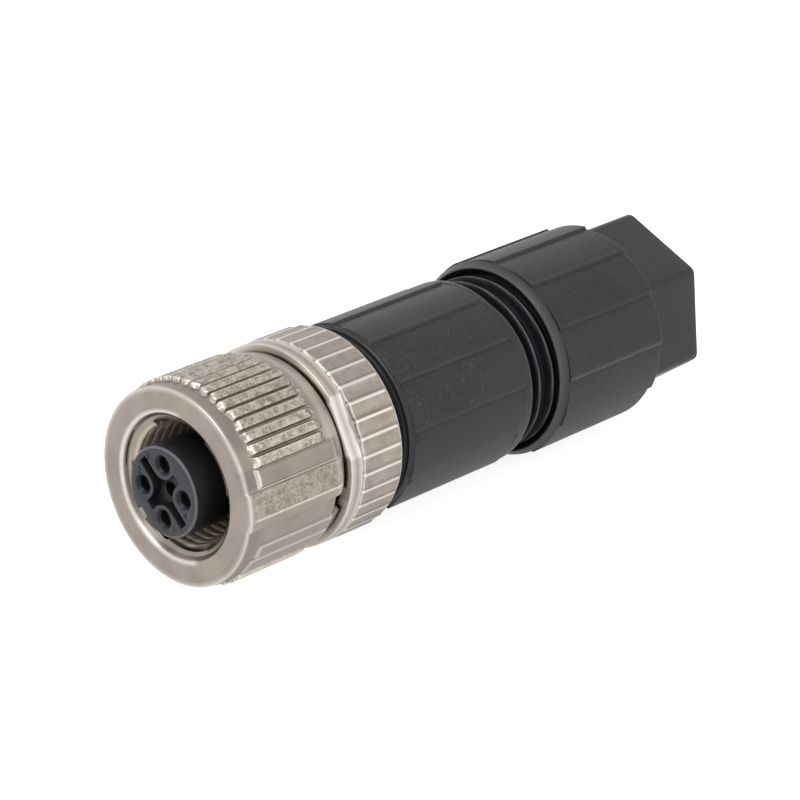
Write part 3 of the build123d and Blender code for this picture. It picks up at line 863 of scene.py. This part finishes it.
def cap_rule(x, radius, turn, place, size):
    """Stepped grip lands, and a hexagon with rounded corners behind them."""
    outer = radius.rise(8.9, 9.2)
    on_lands = x.within(42.42, 55.6, 0.06) * outer
    along, land, step_edge, foot = land_step(turn, on_lands, size)
    # The hexagon's radius at a turn: flats, and corners rounded about centres of their own.
    apothem = size["Across flats"] / 2
    round_centre = (apothem - size["Corner round"]) / cos(pi / 6)
    from_flat = ((turn - size["First corner"]).wrap(60) - 30).size() * (pi / 180)
    flat = apothem / from_flat.math("COSINE")
    from_corner = pi / 6 - from_flat
    sideways = round_centre * from_corner.math("SINE")
    reach = (size["Corner round"] * size["Corner round"] - sideways * sideways).most(0).math("SQRT")
    corner = round_centre * from_corner.math("COSINE") + reach
    corner_starts = ((apothem - size["Corner round"]) * tan(pi / 6) / apothem).math("ARCTANGENT")
    hexagon = flat + (corner - flat) * from_flat.math("GREATER_THAN", corner_starts)
    on_hexagon = x.rise(55.66, 55.7) * radius.rise(5.4, 7.6) * radius.rise(8.2, 8.6).inverse()
    to_hexagon = on_hexagon * (hexagon - size["Hexagon blank"])
    new_radius = radius + on_lands * land * size["Land rise"] + to_hexagon

    # Painted highlights on the lip, its slope, the rear edge and the step edges, brighter in one band of
    # turns; painted shade at the foot of each land and in the crease behind the lip. in_gap lays the darker
    # shaded nylon, painted shade, inside the cap.
    lip = x.within(41.5, 41.56, 0.05) * radius.rise(8.85, 8.9)
    lip_slope = x.within(41.6, 42.3, 0.05) * radius.rise(8.85, 8.9)
    rear = x.within(55.5, 55.68, 0.06) * outer
    clear = turn.wrap(180).rise(176, 177)
    lip_crease = x.within(42.34, 42.4, 0.03) * outer
    masks = {
        "grain": on_lands * 0.45,
        "edge": mixed((step_edge * (clear * 0.4 + 0.08), 1), (lip, 0.6), (lip_slope, 0.12), (rear, 0.25)),
        "painted_shade": mixed((foot, 0.35), (lip_crease, 0.25)),
        "in_gap": radius.rise(8.5, 8.6).inverse() * x.rise(49.4, 49.6).inverse(),
    }
    return x, new_radius, masks


def make_cap_nut():
    """Moulded cap nut: lands in front, hexagon behind."""
    first_step, first_corner, hexagon_blank = 149.5, 85.2, 8.0
    steps = [first_step + land * LAND_SPAN for land in range(LAND_COUNT)]
    corners = [first_corner + corner * 60 for corner in range(6)]
    turns = spread(steps, [-2.2, -1.6, -1.1, -0.8, -0.4, -0.06, 0.2, 0.6, 1.0, 1.8])
    turns |= spread(corners, np.arange(-3.5, 3.6, 0.5))
    turns |= spread([0], np.arange(0, 360, 1.5))
    outline = eased_outline(
        [
            (41.5, 8.81, 0.02),
            (41.5, 8.95, 0.06),
            (42.3, 9.42, 0.06),
            (42.36, 9.28, 0.03, [42.42, 42.5, 44, 46, 48, 50, 52, 54, 55.3, 55.45]),
            (55.7, 9.28, 0.12),
            (55.7, hexagon_blank, 0),
            (63.1, hexagon_blank, 0.35),
            (63.1, 4.2, 0.15),
            (52.6, 4.2, 0),
            (52.6, 6.0, 0),
            (52.06, 6.0, 0),
            (52.06, 6.96, 0),
            (50.94, 6.96, 0),
            (50.94, 6.0, 0),
            (49.34, 6.0, 0),
            (49.34, 8.36, 0),
            (41.95, 8.36, 0),
        ],
        reach=0.9,
    )
    blank = turned_blank("cap_nut_moulding", outline, sorted(turns))
    sizes = {
        "First step": first_step,
        "Land rise": 0.27,
        "Across flats": 15.4,
        "Corner round": 0.9,
        "Hexagon blank": hexagon_blank,
        "First corner": first_corner,
    }
    return shape_by_rule(blank, sizes, cap_rule, black_plastic, shaded_nylon)


cap_nut = make_cap_nut()
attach(cap_nut, "cap_nut")
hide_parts("cap_nut")


def recess_reach(turn):
    """Radius of the recess's open middle at a turn, between the round bosses of the four outer pins."""
    pin_circle, boss, opening = 2.5, 1.28, 1.75
    off = radians((turn + 45) % 90 - 45)
    sideways = abs(pin_circle * sin(off))
    if sideways >= boss:
        return opening
    return min(opening, pin_circle * cos(off) - sqrt(boss**2 - sideways**2))


def prism(name, outline, front, rear):
    """Closed prism along X over an outline of (y, z) points, all in millimetres."""
    count = len(outline)
    points = [(x * MM, y * MM, z * MM) for x in (front, rear) for y, z in outline]
    faces = [range(count), range(count, 2 * count)]
    faces += [(at, (at + 1) % count, (at + 1) % count + count, at + count) for at in range(count)]
    mesh = bpy.data.meshes.new(name)
    mesh.from_pydata(points, [], faces)
    return link(name, tidied(mesh))


def numeral(text, y, z):
    """Closed block in the form of a numeral, half sunk in the mating face at (y, z) millimetres."""
    height, depth = 0.95, 0.08
    curve = bpy.data.curves.new(f"numeral {text}", "FONT")
    curve.body = text
    curve.size = height
    curve.extrude = depth
    curve.resolution_u = 3
    curve.align_x = "CENTER"
    curve.align_y = "CENTER"
    block = link(curve.name, curve)
    depsgraph = bpy.context.evaluated_depsgraph_get()
    mesh = bpy.data.meshes.new_from_object(block.evaluated_get(depsgraph))
    bpy.data.objects.remove(block)
    # Text lies in XY; on the mating face its left is +Y and its top +Z.
    upright = Matrix(((0, 0, -1), (-1, 0, 0), (0, 1, 0))).to_4x4()
    mesh.transform(Matrix.Translation((0, y * MM, z * MM)) @ Matrix.Scale(MM, 4) @ upright)
    return link(curve.name, tidied(mesh, merge=1e-7))


def make_contact_carrier():
    """Carrier with its recess opened round the bosses and the contact numbers sunk in its face."""
    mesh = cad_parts["contact_carrier"].data.copy()
    mesh.materials.clear()
    mesh.materials.append(insert_plastic)
    carrier = link("contact_carrier_moulding", tidied(mesh, merge=1e-6, flatten=radians(0.5)))
    reaches = [(turn, recess_reach(turn)) for turn in range(0, 360, 3)]
    outline = [(reach * cos(radians(turn)), reach * sin(radians(turn))) for turn, reach in reaches]
    numbers = {
        "1": (-1.25, -3.03),
        "2": (2.87, 1.23),
        "3": (1.77, 2.83),
        "4": (-2.69, -1.39),
        "5": (-1.73, 1.54),
    }
    opening_front, opening_rear, edge_width = -0.2, 1.0, 0.05
    cutters = [prism("recess opening", outline, opening_front, opening_rear)]
    cutters += [numeral(text, *place) for text, place in numbers.items()]
    # The bevel comes after the opening and before the numerals, so that their edges stay sharp.
    for cutter in cutters:
        cut = carrier.modifiers.new(cutter.name, "BOOLEAN")
        cut.operation = "DIFFERENCE"
        cut.solver = "EXACT"
        cut.object = cutter
        if cutter is cutters[0]:
            bevel = carrier.modifiers.new("Edges", "BEVEL")
            bevel.width = edge_width * MM
            bevel.segments = 2
            bevel.limit_method = "ANGLE"
            bevel.angle_limit = radians(35)
    settled(carrier)
    for cutter in cutters:
        bpy.data.objects.remove(cutter)
    carrier.data.shade_smooth()
    carrier.data.set_sharp_from_angle(angle=radians(30))
    return carrier


contact_carrier = make_contact_carrier()
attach(contact_carrier, "connector_body")
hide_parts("contact_carrier")


node_finish = {
    "terminal_block": block_plastic,
    "clamp_cage": cage_plastic,
    "nut_clip": screw_steel,
}
for node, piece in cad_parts.items():
    finish = node_finish.get(node)
    if node.startswith("socket_contact"):
        finish = gold_plate
    if node.startswith("terminal_screw"):
        finish = screw_steel
    if node.endswith("seal"):
        finish = seal_rubber
    if finish:
        piece.data.materials.clear()
        piece.data.materials.append(finish)


def make_floor():
    """Pale floor that looks white to the camera and keeps the object's soft shadow."""
    mesh = bpy.data.meshes.new("floor")
    low, reach = cad_box[0][2], 2.0
    seen_level, mirrored_level = 0.84, 0.55
    corners = [(-reach, -reach, low), (reach, -reach, low), (reach, reach, low), (-reach, reach, low)]
    mesh.from_pydata(corners, [], [(0, 1, 2, 3)])
    material = bpy.data.materials.new("pale floor")
    material.use_nodes = True
    tree = material.node_tree
    shader = tree.nodes["Principled BSDF"]
    shader.inputs["Base Color"].default_value = (0.8, 0.8, 0.8, 1)
    shader.inputs["Roughness"].default_value = 0.9
    shader.inputs["Specular IOR Level"].default_value = 0.1
    shader.inputs["Emission Color"].default_value = (1, 1, 1, 1)
    seen = ray_mask(tree, "Camera") * seen_level
    mirrored = ray_mask(tree, "Glossy", "Transmission") * mirrored_level
    feed(tree, seen.most(mirrored), shader.inputs["Emission Strength"])
    mesh.materials.append(material)
    floor = link("floor", mesh)


def make_world():
    """White surroundings for what is seen and mirrored, and a plainer level of light."""
    world = bpy.data.worlds.new("studio")
    bpy.context.scene.world = world
    world.use_nodes = True
    tree = world.node_tree
    lighting_level, seen_level = 0.55, 1.0
    seen = ray_mask(tree, "Camera", "Glossy", "Transmission")
    background = tree.nodes["Background"]
    background.inputs["Color"].default_value = (1, 1, 1, 1)
    strength = seen * (seen_level - lighting_level) + lighting_level
    feed(tree, strength, background.inputs["Strength"])


def soft_lamp(name, place, target, width, watts):
    """Square lamp at a place, turned to the target."""
    data = bpy.data.lights.new(name, "AREA")
    data.size = width
    data.energy = watts
    lamp = link(name, data)
    away = Vector(place) - Vector(target)
    lamp.matrix_world = Matrix.Translation(place) @ away.to_track_quat("Z", "Y").to_matrix().to_4x4()


def make_camera():
    """Camera at the photograph's angle, fitted to the connector's round edges."""
    data = bpy.data.cameras.new("camera")
    data.lens = 157.35
    data.sensor_width = 36
    camera = link("camera", data)
    forward = Vector((0.67524, 0.63112, -0.38176))
    place = Vector((-0.18517, -0.20072, 0.12102))
    camera.matrix_world = Matrix.Translation(place) @ forward.to_track_quat("-Z", "Y").to_matrix().to_4x4()
    data.clip_start = 0.01
    bpy.context.scene.camera = camera


make_floor()
make_world()
middle = (0.03, 0, 0)
soft_lamp("key", (-0.20, -0.05, 0.35), middle, 0.25, 0.6)
soft_lamp("fill", (0.05, -0.40, 0.12), middle, 0.30, 0.22)
soft_lamp("side", (0.36, -0.35, 0.16), middle, 0.20, 0.07)
make_camera()
bpy.context.scene.view_settings.view_transform = "Standard"
